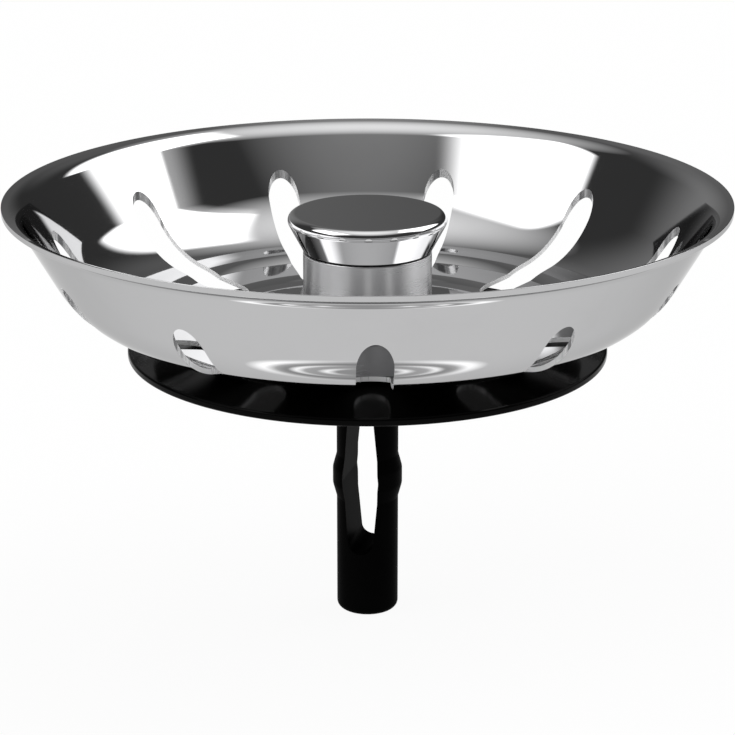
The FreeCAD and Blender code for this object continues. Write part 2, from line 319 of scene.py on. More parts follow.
@dataclass(frozen=True)
class Metal(Finish):
    """Metal that whitens less at a glancing angle than a perfect mirror."""

    tint: Colour = (0.5, 0.5, 0.51)
    edge_tint: Colour = (0.7, 0.7, 0.7)

    def shaded(self, share: float) -> Colour:
        """The tint times a share."""
        return tuple(channel * share for channel in self.tint)

    def metal(self, colour: Wire, roughness: Wire) -> dict[str, Any]:
        """The shader's inputs for a colour and a roughness."""
        edge = (*self.edge_tint, 1.0)
        return {"Metallic": 1.0, "Base Color": colour, "Specular Tint": edge, "Roughness": roughness}


@dataclass(frozen=True)
class PolishedMetal(Metal):
    """Mirror-polished metal with faint buffing rings and smears."""

    tint: Colour = (0.53, 0.53, 0.535)
    gloss_roughness: float = 0.03
    smears: Grain = Grain(90.0, 4.0, 0.6)
    smear_span: Pair = (0.42, 0.75)
    smear_roughness: float = 0.035
    stain: float = 0.03
    rings: Grain = Grain(9000.0, 1.0)
    ring_drift: float = 2e-4  # metres for each radian of turn
    ring_roughness: float = 0.012

    def surface(self, graph: Graph) -> Mapping[str, Any]:
        """Rings follow the radius and height, smears are spread at random.

        Args:
            graph: The material's graph.

        Returns:
            The shader's inputs.
        """
        point = graph.object_point()
        x, y, z = graph.parts(point)
        drift = y.angle_to(x) * self.ring_drift
        rings = graph.noise(graph.vector((x * x + y * y).root(), z, drift), self.rings)
        smears = graph.smooth_step(graph.noise(point, self.smears), *self.smear_span)
        colour = graph.shades(smears, self.tint, self.shaded(1 - self.stain))
        roughness = self.gloss_roughness + smears * self.smear_roughness + rings * self.ring_roughness
        return self.metal(colour, roughness)


@dataclass(frozen=True)
class TurnedMetal(Metal):
    """Metal with the fine grooves that a lathe tool leaves round the axis."""

    roughness: float = 0.2
    grooves: Grain = Grain(5200.0, 3.0, 0.6)
    groove_depth: float = 2.0e-6
    groove_strength: float = 0.35
    groove_roughness: float = 0.08
    groove_shade: float = 0.93
    patches: Grain = Grain(160.0, 3.0)
    patch_roughness: float = 0.05

    def surface(self, graph: Graph) -> Mapping[str, Any]:
        """Grooves follow the height and radius.

        Args:
            graph: The material's graph.

        Returns:
            The shader's inputs.
        """
        point = graph.object_point()
        x, y, z = graph.parts(point)
        grooves = graph.noise(graph.vector((x * x + y * y).root(), z, 0.0), self.grooves)
        patches = graph.noise(point, self.patches)
        colour = graph.shades(grooves, self.tint, self.shaded(self.groove_shade))
        roughness = self.roughness + grooves * self.groove_roughness + patches * self.patch_roughness
        normal = graph.bump(grooves, self.groove_strength, self.groove_depth)
        return {**self.metal(colour, roughness), "Normal": normal}


@dataclass(frozen=True)
class ShearedEdge(Finish):
    """The wall of a punched slot, with the vertical drag lines of the punch as bumps, and painted reflection
    stripes: dark stripes painted into the colour along those lines at the steep tips.
    """

    tint: Colour = (0.86, 0.86, 0.865)
    # The dark colour of the painted reflection stripes at the tips
    reflection_stripe: Colour = (0.3, 0.3, 0.305)
    metal_share: float = 0.4
    # The painted reflection stripes fade in between these two radii
    stripes_from: float = 0.0335  # metres from the axis where the lines start
    stripes_to: float = 0.0355  # metres from the axis where they are full
    lines: Grain = Grain(1700.0, 0.5)
    line_stretch: float = 0.02
    line_span: Pair = (0.42, 0.6)
    line_strength: float = 1.0
    line_depth: float = 1e-5
    line_roughness: float = 0.2
    least_roughness: float = 0.2

    def surface(self, graph: Graph) -> Mapping[str, Any]:
        """Drag lines stand along the punch's way, which is vertical.

        Args:
            graph: The material's graph.

        Returns:
            The shader's inputs.
        """
        x, y, z = graph.parts(graph.object_point())
        lines = graph.noise(graph.vector(x, y, z * self.line_stretch), self.lines)
        tips = graph.smooth_step(x * x + y * y, self.stripes_from**2, self.stripes_to**2)
        # Painted reflection: dark stripes painted into the colour at the tips
        painted_stripes = graph.smooth_step(lines, *self.line_span) * tips
        return {
            "Metallic": self.metal_share,
            "Base Color": graph.shades(painted_stripes, self.tint, self.reflection_stripe),
            "Roughness": self.least_roughness + lines * self.line_roughness,
            "Normal": graph.bump(lines, self.line_strength, self.line_depth),
        }


@dataclass(frozen=True)
class MouldedBlack(Finish):
    """Black moulded rubber or plastic with a fine moulded grain."""

    tint: Colour = (0.0012, 0.0012, 0.0012)
    dusty: Colour = (0.0026, 0.0026, 0.0026)
    roughness: float = 0.3
    roughness_spread: float = 0.12
    bloom: Grain = Grain(140.0, 4.0, 0.55)
    grain: Grain = Grain(2400.0, 3.0, 0.6)
    grain_depth: float = 6e-6
    grain_strength: float = 0.12
    specular: float = 0.5

    def surface(self, graph: Graph) -> Mapping[str, Any]:
        """Grain all over, and a slightly greyer bloom in patches.

        Args:
            graph: The material's graph.

        Returns:
            The shader's inputs.
        """
        point = graph.object_point()
        grain = graph.noise(point, self.grain)
        bloom = graph.noise(point, self.bloom)
        return {
            "Base Color": graph.shades(bloom, self.tint, self.dusty),
            "Roughness": self.roughness + (bloom - NOISE_MIDDLE) * self.roughness_spread,
            "Specular IOR Level": self.specular,
            "Normal": graph.bump(grain, self.grain_strength, self.grain_depth),
        }


BOWL_STEEL = PolishedMetal("bowl_steel")
KNOB_CHROME = PolishedMetal("knob_chrome", tint=(0.6, 0.6, 0.605), gloss_roughness=0.025)
SLOT_EDGE = ShearedEdge("slot_edge")
NECK_STEEL = TurnedMetal("neck_steel", tint=(0.5, 0.5, 0.505), roughness=0.22, groove_strength=0.006)
STUD_STEEL = TurnedMetal("turned_stud", tint=(0.45, 0.45, 0.455), roughness=0.28)
INSERT_BRASS = TurnedMetal("turned_brass", tint=(0.62, 0.43, 0.17), roughness=0.24)
SEAL_RUBBER = MouldedBlack("black_rubber", roughness=0.16, roughness_spread=0.06, specular=0.035)
STEM_PLASTIC = MouldedBlack("black_plastic", roughness=0.4, specular=0.004)
CORE_PLASTIC = MouldedBlack("core_black", tint=(0.02, 0.02, 0.02), dusty=(0.03, 0.03, 0.03), roughness=0.5)


# Turned and punched shapes


@dataclass(frozen=True)
class Corner:
    """One corner of an outline in millimetres: how far across, how far up, and the radius it is bent to."""

    across: float
    up: float
    bend: float = 0.0

    @property
    def place(self) -> Vector:
        """The corner as a point of the plane."""
        return Vector((self.across, self.up))


def spin_about_z(
    mesh: bmesh.types.BMesh,
    geometry: list[Any],
    angle: float,
    steps: int,
    **options: bool,
) -> None:
    """Spin geometry of a bmesh about Z, with the operator's own options."""
    turn = {"cent": ORIGIN, "axis": UPWARDS, "dvec": ORIGIN, "angle": angle, "steps": steps}
    bmesh.ops.spin(mesh, geom=geometry, **turn, **options)


class Outline:
    """Lines and arcs in a plane, with the solid on the left of their way."""

    ARC_STEP = math.radians(4)
    LEAST_STEPS = 2

    def __init__(self, corners: Sequence[Corner], closed: bool = True) -> None:
        """Lay out the points.

        Args:
            corners: The corners in order.
            closed: Whether the last corner joins the first.
        """
        self.closed = closed
        self.points: list[Vector] = []
        self.normals: list[Optional[Vector]] = []
        count = len(corners)
        for index, corner in enumerate(corners):
            inner = closed or 0 < index < count - 1
            if corner.bend and inner:
                self._bend(corners[index - 1].place, corner, corners[(index + 1) % count].place)
            else:
                self._add(corner.place, None)

    def _add(self, place: Vector, normal: Optional[Vector]) -> None:
        """Add a point, unless it is the last one again.

        Args:
            place: The point.
            normal: The outward normal there, or None at a sharp corner.
        """
        if not self.points or (place - self.points[-1]).length > WELD:
            self.points.append(place)
            self.normals.append(normal)

    def _bend(self, before: Vector, corner: Corner, after: Vector) -> None:
        """Add an arc tangent to both lines of a corner.

        Args:
            before: The corner before.
            corner: The corner to bend.
            after: The corner after.
        """
        along = (corner.place - before).normalized()
        onward = (after - corner.place).normalized()
        turn = math.atan2(along.cross(onward), along.dot(onward))
        side = math.copysign(1.0, turn)
        start = corner.place - along * corner.bend * math.tan(abs(turn) / 2)
        centre = start + Vector((-along.y, along.x)) * corner.bend * side
        spoke = start - centre
        steps = max(self.LEAST_STEPS, math.ceil(abs(turn) / self.ARC_STEP))
        for step in range(steps + 1):
            turned = spoke.copy()
            turned.rotate(Matrix.Rotation(turn * step / steps, 2))
            self._add(centre + turned, turned.normalized() * side)

    def segments(self) -> tuple[np.ndarray, np.ndarray, np.ndarray, np.ndarray]:
        """The outline's lines.

        Returns:
            Starts, ends, and the outward normals at the starts and at the ends.
        """
        count = len(self.points)
        rows = []
        for index in range(count if self.closed else count - 1):
            following = (index + 1) % count
            along = (self.points[following] - self.points[index]).normalized()
            flat = Vector((along.y, -along.x))
            rows.append((
                self.points[index],
                self.points[following],
                self.normals[index] or flat,
                self.normals[following] or flat,
            ))
        return tuple(np.array(column, float) for column in zip(*rows))

    def facing(self, middles: np.ndarray, places: np.ndarray, owners: np.ndarray) -> np.ndarray:
        """Outward normals in the outline's plane.

        Args:
            middles: The middles of faces, in the plane.
            places: The corners of those faces, in the plane.
            owners: The face that each corner belongs to.

        Returns:
            A normal for each place, smooth along arcs and flat along lines.
        """
        starts, ends, first, last = self.segments()
        along = ends - starts
        square = (along**2).sum(1)
        offsets = middles[:, None] - starts[None]
        shares = np.clip((offsets * along).sum(2) / square, 0, 1)
        gaps = ((offsets - shares[..., None] * along) ** 2).sum(2)
        line = gaps.argmin(1)[owners]
        share = np.clip(((places - starts[line]) * along[line]).sum(1) / square[line], 0, 1)[:, None]
        mixed = first[line] * (1 - share) + last[line] * share
        return mixed / np.linalg.norm(mixed, axis=1, keepdims=True)

    def spun(self, steps: int) -> bmesh.types.BMesh:
        """Turn the outline, as radius and height, about Z.

        Args:
            steps: How many steps make the full turn.

        Returns:
            The turned shell.
        """
        mesh = bmesh.new()
        ring = [mesh.verts.new((point.x, 0.0, point.y)) for point in self.points]
        pairs = list(zip(ring, ring[1:]))
        if self.closed:
            pairs.append((ring[-1], ring[0]))
        edges = [mesh.edges.new(pair) for pair in pairs]
        spin_about_z(mesh, ring + edges, FULL_TURN, steps, use_merge=True)
        bmesh.ops.remove_doubles(mesh, verts=mesh.verts[:], dist=WELD)
        bmesh.ops.recalc_face_normals(mesh, faces=mesh.faces[:])
        return mesh

    def prism(self, low: float, high: float) -> bmesh.types.BMesh:
        """Extrude the outline, as X and Y, along Z.

        Args:
            low: Where the prism starts.
            high: Where it ends.

        Returns:
            The closed prism.
        """
        mesh = bmesh.new()
        base = mesh.faces.new([mesh.verts.new((point.x, point.y, low)) for point in self.points])
        grown = bmesh.ops.extrude_face_region(mesh, geom=[base])["geom"]
        lifted = [item for item in grown if isinstance(item, bmesh.types.BMVert)]
        bmesh.ops.translate(mesh, verts=lifted, vec=(0, 0, high - low))
        bmesh.ops.recalc_face_normals(mesh, faces=mesh.faces[:])
        return mesh


class Shaped:
    """A mesh in millimetres, as arrays that shading needs."""

    def __init__(self, mesh: bpy.types.Mesh) -> None:
        """Read the mesh.

        Args:
            mesh: The mesh, whose material indices are kinds of face.
        """
        self.mesh = mesh
        corners = np.array([loop.vertex_index for loop in mesh.loops])
        points = np.array([vertex.co for vertex in mesh.vertices], float).reshape(-1, 3)
        self.places = points[corners]
        self.middles = np.array([face.center for face in mesh.polygons], float).reshape(-1, 3)
        self.owners = np.repeat(np.arange(len(mesh.polygons)), [face.loop_total for face in mesh.polygons])
        self.kinds = np.array([face.material_index for face in mesh.polygons])[self.owners]
        self.normals = np.zeros_like(self.places)

    def face_as_turned(self, outline: Outline) -> None:
        """Shade the skin as an outline turned about Z.

        Args:
            outline: The outline, as radius and height.
        """
        chosen = self.kinds == FaceKind.SKIN
        middles = np.stack([np.hypot(*self.middles[:, :2].T), self.middles[:, 2]], axis=1)
        radius = np.hypot(*self.places[:, :2].T)
        flat = np.stack([radius, self.places[:, 2]], axis=1)
        facing = outline.facing(middles, flat[chosen], self.owners[chosen])
        bearing = self.places[chosen, :2] / np.maximum(radius[chosen], WELD)[:, None]
        self.normals[chosen] = np.column_stack([bearing * facing[:, :1], facing[:, 1]])

    def face_as_punched(self, outline: Outline, frames: np.ndarray, pick: np.ndarray) -> None:
        """Shade the cut faces as the walls of punched openings.

        Args:
            outline: The punch's outline, as X and Y of its own frame.
            frames: For each punch, the 3 by 3 turn from its own frame.
            pick: The punch that is nearest to each face.
        """
        chosen = self.kinds == FaceKind.CUT
        turns = frames[pick]
        middles = np.einsum("fij,fi->fj", turns, self.middles)[:, :2]
        corner_turns = turns[self.owners[chosen]]
        flat = np.einsum("fij,fi->fj", corner_turns, self.places[chosen])[:, :2]
        facing = -outline.facing(middles, flat, self.owners[chosen])
        level = np.column_stack([facing, np.zeros(len(facing))])
        self.normals[chosen] = np.einsum("fij,fj->fi", corner_turns, level)

    def finished(self) -> bpy.types.Mesh:
        """Fix the shading and go over to metres.

        Returns:
            The finished mesh.
        """
        self.mesh.shade_smooth()
        self.mesh.normals_split_custom_set(self.normals.tolist())
        self.mesh.transform(Matrix.Scale(MM, 4))
        return self.mesh


def to_mesh(shape: bmesh.types.BMesh, name: str, *finishes: Finish) -> bpy.types.Mesh:
    """Turn a bmesh into a mesh with its finishes, and free it.

    Args:
        shape: The bmesh.
        name: The mesh's name.
        finishes: The finishes that its faces point at.

    Returns:
        The mesh.
    """
    mesh = bpy.data.meshes.new(name)
    shape.to_mesh(mesh)
    shape.free()
    for finish in finishes:
        mesh.materials.append(finish.material())
    return mesh


def turned_mesh(outline: Outline, steps: int, name: str, finish: Finish) -> bpy.types.Mesh:
    """Turn an outline about Z.

    Args:
        outline: The outline, as radius and height.
        steps: How many steps make the full turn.
        name: The mesh's name.
        finish: Its finish.

    Returns:
        The finished mesh.
    """
    shaped = Shaped(to_mesh(outline.spun(steps), name, finish))
    shaped.face_as_turned(outline)
    return shaped.finished()


def cut_out(
    blank: bmesh.types.BMesh,
    tool: bmesh.types.BMesh,
    name: str,
    skin: Finish,
    cut: Finish,
) -> bpy.types.Mesh:
    """Cut a tool's shape out of a blank; the new faces are of the kind CUT.

    Args:
        blank: The shape to cut.
        tool: The closed shape that is taken away.
        name: The mesh's name.
        skin: The finish of the blank's own faces.
        cut: The finish of the cut faces.

    Returns:
        The cut mesh.
    """
    for face in tool.faces:
        face.material_index = FaceKind.CUT
    objects = []
    for label, shape in (("blank", blank), ("tool", tool)):
        mesh = to_mesh(shape, f"{name}_{label}", skin, cut)
        objects.append(bpy.data.objects.new(mesh.name, mesh))
        bpy.context.scene.collection.objects.link(objects[-1])
    modifier = objects[0].modifiers.new("cut", "BOOLEAN")
    modifier.operation = "DIFFERENCE"
    modifier.solver = "EXACT"
    modifier.material_mode = "INDEX"
    modifier.object = objects[1]
    evaluated = objects[0].evaluated_get(bpy.context.evaluated_depsgraph_get())
    result = bpy.data.meshes.new_from_object(evaluated)
    result.name = name
    for item in objects:
        bpy.data.objects.remove(item)
    return result


@dataclass(frozen=True)
class Envelope:
    """The radius and levels of a turned CAD node, in millimetres."""

    radius: float
    low: float
    high: float

    @classmethod
    def of(cls, node: str) -> "Envelope":
        """Measure the CAD node of that name."""
        low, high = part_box(node)
        return cls(radius=high.x / MM, low=low.z / MM, high=high.z / MM)


@dataclass(frozen=True)
class Piece:
    """A finished mesh with its place in the assembly."""

    mesh: bpy.types.Mesh
    node: str
    body: Body
    slot: Slot

    def hand_over(self) -> None:
        """Put the piece in the scene, in place of its CAD node."""
        made = bpy.data.objects.new(self.mesh.name, self.mesh)
        bpy.context.scene.collection.objects.link(made)
        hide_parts(self.node)
        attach(made, self.body.value)
        LOG.info("%s rides on %s, %d faces", made.name, self.body.value, len(self.mesh.polygons))


# Sub-assemblies


@dataclass(frozen=True)
class Terrace:
    """A ring of the bowl's floor: its slope, its inner radius, and the run and fall of the step there."""

    lean: float
    edge: float
    run: float
    fall: float


@dataclass
class PressedBowl:
    """The bowl: one steel sheet with a flared lip, a leaning wall, a wide knee, terraces and slots."""

    envelope: Envelope = field(default_factory=lambda: Envelope.of("basket_bowl"))
    sheet: float = 0.55
    lip_width: float = 1.45
    lip_lean: float = 18.0
    lip_bend: float = 2.6
    edge_bend: float = 0.06
    hem: float = 0.1
    hem_bend: float = 0.2
    wall_lean: float = 29.8
    knee_height: float = 5.5
    knee_bend: float = 11.8
    terraces: tuple[Terrace, ...] = (
        Terrace(lean=12.0, edge=26.9, run=1.4, fall=0.6),
        Terrace(lean=8.6, edge=21.7, run=1.2, fall=0.35),
    )
    step_brow_bend: float = 14.0
    step_root_bend: float = 0.8
    hub_radius: float = 19.0
    hub_bend: float = 4.0
    hole_radius: float = 4.6
    slots: int = 11
    slot_width: float = 4.0
    slot_tip_inset: float = 4.6
    slot_root_radius: float = 19.3
    steps: int = 264

    def underside(self, hem: float = 0.0) -> list[Corner]:
        """The corners of the sheet's lower face, from the centre hole to the rim.

        Args:
            hem: How much deeper the lip is than the sheet.

        Returns:
            The corners.
        """
        rim = self.envelope.radius
        lip_slope = math.tan(math.radians(self.lip_lean))
        wall_slope = math.tan(math.radians(self.wall_lean))
        lip_low = self.envelope.high - self.sheet / math.cos(math.radians(self.lip_lean))
        wall_top = lip_low - self.lip_width * lip_slope
        knee = rim - self.lip_width - (wall_top - self.knee_height) * wall_slope
        drop = hem / (1 - wall_slope * lip_slope)
        floor = []
        radius, height = knee, self.knee_height
        for terrace in self.terraces:
            height -= (radius - terrace.edge) * math.tan(math.radians(terrace.lean))
            floor.append(Corner(terrace.edge, height, self.step_brow_bend))
            radius, height = terrace.edge - terrace.run, height - terrace.fall
            floor.append(Corner(radius, height, self.step_root_bend))
        hub = self.envelope.low + HUB_RISE
        return [
            Corner(self.hole_radius, hub),
            Corner(self.hub_radius, hub, self.hub_bend),
            *reversed(floor),
            Corner(knee, self.knee_height, self.knee_bend),
            Corner(rim - self.lip_width - drop * wall_slope, wall_top - drop, self.lip_bend),
            Corner(rim, lip_low - hem, self.hem_bend),
        ]

    def topside(self, underside: Sequence[Corner]) -> list[Corner]:
        """The corners of the sheet's upper face, one sheet away from its lower face.

        Args:
            underside: The corners of the lower face.

        Returns:
            The corners in the same order.
        """
        pairs = zip(underside, underside[1:])
        ways = [(after.place - before.place).normalized() for before, after in pairs]
        first, last = underside[0], underside[-1]
        corners = [Corner(first.across, first.up + self.sheet)]
        for corner, along, onward in zip(underside[1:-1], ways, ways[1:]):
            turn = math.atan2(along.cross(onward), along.dot(onward))
            middle = (along + onward).normalized()
            moved = corner.place + Vector((-middle.y, middle.x)) * self.sheet / math.cos(turn / 2)
            bend = max(corner.bend - math.copysign(self.sheet, turn), self.sheet / 2)
            corners.append(Corner(moved.x, moved.y, bend))
        corners.append(Corner(last.across, self.envelope.high, self.edge_bend))
        return corners

    def build(self) -> list[Piece]:
        """Turn the sheet, punch the slots and fix the shading.

        Returns:
            The bowl.
        """
        topside = self.topside(self.underside())
        sheet = Outline([*self.underside(self.hem), *reversed(topside)])
        tip = self.envelope.radius - self.slot_tip_inset
        half = self.slot_width / 2
        slot = Outline([
            Corner(-half, -tip, half),
            Corner(half, -tip, half),
            Corner(half, -self.slot_root_radius, half),
            Corner(-half, -self.slot_root_radius, half),
        ])
        pitch = FULL_TURN / self.slots
        punch = slot.prism(0.0, self.envelope.high)
        whole = punch.verts[:] + punch.edges[:] + punch.faces[:]
        more = self.slots - 1
        spin_about_z(punch, whole, pitch * more, more, use_duplicate=True)
        shaped = Shaped(cut_out(sheet.spun(self.steps), punch, "strainer_bowl", BOWL_STEEL, SLOT_EDGE))
        shaped.face_as_turned(sheet)
        frames = np.array([Matrix.Rotation(pitch * index, 3, "Z") for index in range(self.slots)])
        bearing = np.arctan2(shaped.middles[:, 0], -shaped.middles[:, 1])
        pick = np.round(bearing / pitch).astype(int) % self.slots
        shaped.face_as_punched(slot, frames, pick)
        return [Piece(shaped.finished(), "basket_bowl", Body.BASKET, Slot.POLISHED_STEEL)]


@dataclass
class Knob:
    """The knob: a polished cap on a turned neck."""

    cap: Envelope = field(default_factory=lambda: Envelope.of("knob_cap"))
    neck: Envelope = field(default_factory=lambda: Envelope.of("neck_sleeve"))
    head_radius: float = 9.85
    head_bend: float = 0.88
    skirt_radius: float = 7.525
    skirt_bend: float = 0.12
    cap_wall: float = 0.7
    neck_wall: float = 0.8
    neck_bend: float = 0.15
    groove_depth: float = 0.3
    groove_top: float = 0.65
    groove_height: float = 1.1
    steps: int = 192

    def build_cap(self) -> Piece:
        """Turn the cap: a shell with a flat top and a skirt that narrows downwards.

        Returns:
            The cap.
        """
        lean = math.atan2(self.head_radius - self.skirt_radius, self.cap.high - self.cap.low)
        bore = self.skirt_radius - self.cap_wall / math.cos(lean)
        ceiling = self.cap.high - self.cap_wall
        ceiling_radius = bore + (ceiling - self.cap.low) * math.tan(lean)
        outline = Outline(
            [
                Corner(0.0, ceiling),
                Corner(ceiling_radius, ceiling),
                Corner(bore, self.cap.low),
                Corner(self.skirt_radius, self.cap.low, self.skirt_bend),
                Corner(self.head_radius, self.cap.high, self.head_bend),
                Corner(0.0, self.cap.high),
            ],
            closed=False,
        )
        mesh = turned_mesh(outline, self.steps, "polished_cap", KNOB_CHROME)
        return Piece(mesh, "knob_cap", Body.KNOB, Slot.POLISHED_CHROME)

    def build_neck(self) -> Piece:
        """Turn the neck: a tube with the groove that the knob's core snaps into.

        Returns:
            The neck.
        """
        outer = self.neck.radius
        low = self.neck.low + HUB_RISE
        bore = outer - self.neck_wall
        groove = self.neck.high - self.groove_top
        outline = Outline([
            Corner(outer, low, self.neck_bend),
            Corner(outer, self.neck.high, self.neck_bend),
            Corner(bore, self.neck.high, self.neck_bend),
            Corner(bore, groove),
            Corner(bore + self.groove_depth, groove),
            Corner(bore + self.groove_depth, groove - self.groove_height),
            Corner(bore, groove - self.groove_height),
            Corner(bore, low, self.neck_bend),
        ])
        mesh = turned_mesh(outline, self.steps, "turned_neck", NECK_STEEL)
        return Piece(mesh, "neck_sleeve", Body.NECK, Slot.SATIN_STEEL)

    def build(self) -> list[Piece]:
        """All the pieces of the knob."""
        return [self.build_cap(), self.build_neck()]


@dataclass
class SealDisc:
    """The rubber disc: a dome with a thin flat edge, clamped at its hub."""

    envelope: Envelope = field(default_factory=lambda: Envelope.of("seal_disc"))
    edge: float = 0.9
    edge_bend: float = 0.3
    land: float = 2.0
    hub_radius: float = 10.0
    hub_thickness: float = 1.5
    flange_radius: float = 9.0
    hole_radius: float = 4.6
    dome_bend: float = 6.0
    land_bend: float = 1.5
    steps: int = 220

    def build(self) -> list[Piece]:
        """Turn the disc.

        Returns:
            The disc.
        """
        rim, low, high = self.envelope.radius, self.envelope.low, self.envelope.high
        outline = Outline([
            Corner(self.hole_radius, high - self.hub_thickness),
            Corner(self.flange_radius, high - self.hub_thickness),
            Corner(rim - self.land, low, self.land_bend),
            Corner(rim, low, self.edge_bend),
            Corner(rim, low + self.edge, self.edge_bend),
            Corner(self.hub_radius, high + HUB_RISE, self.dome_bend),
            Corner(self.hole_radius, high + HUB_RISE),
        ])
        mesh = turned_mesh(outline, self.steps, "rubber_disc", SEAL_RUBBER)
        return [Piece(mesh, "seal_disc", Body.BASKET, Slot.SEAL_RUBBER)]


@dataclass
class SprungStem:
    """The stem: a boss, the clamping flange, and a column split into two bowed legs."""

    envelope: Envelope = field(default_factory=lambda: Envelope.of("drain_stem"))
    insert: Envelope = field(default_factory=lambda: Envelope.of("stem_insert"))
    seal: Envelope = field(default_factory=lambda: Envelope.of("seal_disc"))
    seal_thickness: float = 1.5
    boss_radius: float = 4.5
    relief_radius: float = 2.8
    relief_depth: float = 0.8
    flange_thickness: float = 1.4
    flange_bend: float = 1.4
    flange_edge: float = 0.3
    column_radius: float = 3.665
    bow_rise: float = 0.465
    bow_depth: float = 15.5
    bow_length: float = 5.4
    bow_flat: float = 2.0
    bow_bend: float = 1.7
    bow_root_bend: float = 0.25
    tip_bend: float = 0.9
    turn: float = -16.0
    gap_top: float = 6.4
    gap_length: float = 18.2
    gap_end_width: float = 2.86
    gap_middle_width: float = 4.4
    gap_bend: float = 1.42
    gap_bow_bend: float = 1.5
    steps: int = 128

    def column(self) -> Outline:
        """The turned outline of the stem, from its tip to the bottom of its bore.

        Returns:
            The outline, as radius and height.
        """
        tip = self.envelope.low
        flange_top = self.seal.high - self.seal_thickness
        flange_low = flange_top - self.flange_thickness
        bore_bottom = self.insert.low
        bow = self.column_radius + self.bow_rise
        return Outline(
            [
                Corner(0.0, tip),
                Corner(self.column_radius, tip, self.tip_bend),
                Corner(self.column_radius, -self.bow_depth - self.bow_length / 2, self.bow_root_bend),
                Corner(bow, -self.bow_depth - self.bow_flat / 2, self.bow_bend),
                Corner(bow, -self.bow_depth + self.bow_flat / 2, self.bow_bend),
                Corner(self.column_radius, -self.bow_depth + self.bow_length / 2, self.bow_root_bend),
                Corner(self.column_radius, flange_low, self.flange_bend),
                Corner(self.envelope.radius, flange_low, self.flange_edge),
                Corner(self.envelope.radius, flange_top, self.flange_edge),
                Corner(self.boss_radius, flange_top),
                Corner(self.boss_radius, self.envelope.high),
                Corner(self.insert.radius, self.envelope.high),
                Corner(self.insert.radius, bore_bottom),
                Corner(self.relief_radius, bore_bottom),
                Corner(self.relief_radius, bore_bottom - self.relief_depth),
                Corner(0.0, bore_bottom - self.relief_depth),
            ],
            closed=False,
        )

    def build(self) -> list[Piece]:
        """Turn the column and cut the gap between its legs.

        Returns:
            The stem.
        """
        column = self.column()
        end, middle = self.gap_end_width / 2, self.gap_middle_width / 2
        top, bottom = -self.gap_top, -self.gap_top - self.gap_length
        gap = Outline([
            Corner(-end, bottom, self.gap_bend),
            Corner(end, bottom, self.gap_bend),
            Corner(middle, -self.bow_depth, self.gap_bow_bend),
            Corner(end, top, self.gap_bend),
            Corner(-end, top, self.gap_bend),
            Corner(-middle, -self.bow_depth, self.gap_bow_bend),
        ])
        turn = Matrix.Rotation(math.radians(self.turn), 3, "Z") @ Matrix.Rotation(FULL_TURN / 4, 3, "X")
        cutter = gap.prism(-self.envelope.radius, self.envelope.radius)
        bmesh.ops.transform(cutter, matrix=turn.to_4x4(), verts=cutter.verts[:])
        blank = column.spun(self.steps)
        shaped = Shaped(cut_out(blank, cutter, "sprung_stem", STEM_PLASTIC, STEM_PLASTIC))
        shaped.face_as_turned(column)
        shaped.face_as_punched(gap, np.array([turn]), np.zeros(len(shaped.middles), int))
        return [Piece(shaped.finished(), "drain_stem", Body.BASKET, Slot.STEM_PLASTIC)]


@dataclass
class HiddenCore:
    """The inner pieces whose CAD shape is kept: the knob's core, its stud and the insert."""

    finishes: Mapping[str, Finish] = field(
        default_factory=lambda: {
            "knob_core": CORE_PLASTIC,
            "knob_stud": STUD_STEEL,
            "stem_insert": INSERT_BRASS,
        }
    )

    def dress(self) -> None:
        """Give each kept node its finish."""
        for node, finish in self.finishes.items():
            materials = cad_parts[node].data.materials
            materials.clear()
            materials.append(finish.material())
            LOG.info("%s keeps its CAD shape", node)


# Studio


@dataclass(frozen=True)
class Side:
    """One side of a softbox: how far it is from the middle, as a tangent, and how far it is blurred."""

    reach: float
    blur: float

    def inside(self, graph: Graph, along: Wire) -> Wire:
        """How much of the light is left at a distance towards this side."""
        return 1 - graph.smooth_step(along, self.reach - self.blur, self.reach + self.blur)


@dataclass(frozen=True)
class Softbox:
    """A rectangle of light, far away, that faces the part."""

    bearing: float
    elevation: float
    roll: float
    left: Side
    right: Side
    bottom: Side
    top: Side
    strength: float
    least_depth: float = 0.01

    def axes(self) -> tuple[Vector, Vector, Vector]:
        """The box's own axes.

        Returns:
            The way to its middle, its right and its top, as unit vectors.
        """
        turn = Matrix.Rotation(math.radians(self.bearing), 3, "Z")
        lift = Matrix.Rotation(math.radians(-self.elevation), 3, "Y")
        lean = Matrix.Rotation(math.radians(self.roll), 3, "X")
        return tuple((turn @ lift @ lean).transposed())

    def light(self, graph: Graph, direction: Wire) -> Wire:
        """The box's light in a direction.

        Args:
            graph: The world's graph.
            direction: The direction, as a unit vector.

        Returns:
            A wire with its strength there.
        """
        depth, right, top = (graph.along(direction, axis) for axis in self.axes())
        depth = depth.at_least(self.least_depth)
        across = right / depth
        up = top / depth
        level = self.right.inside(graph, across) * self.left.inside(graph, -across)
        return level * self.top.inside(graph, up) * self.bottom.inside(graph, -up) * self.strength


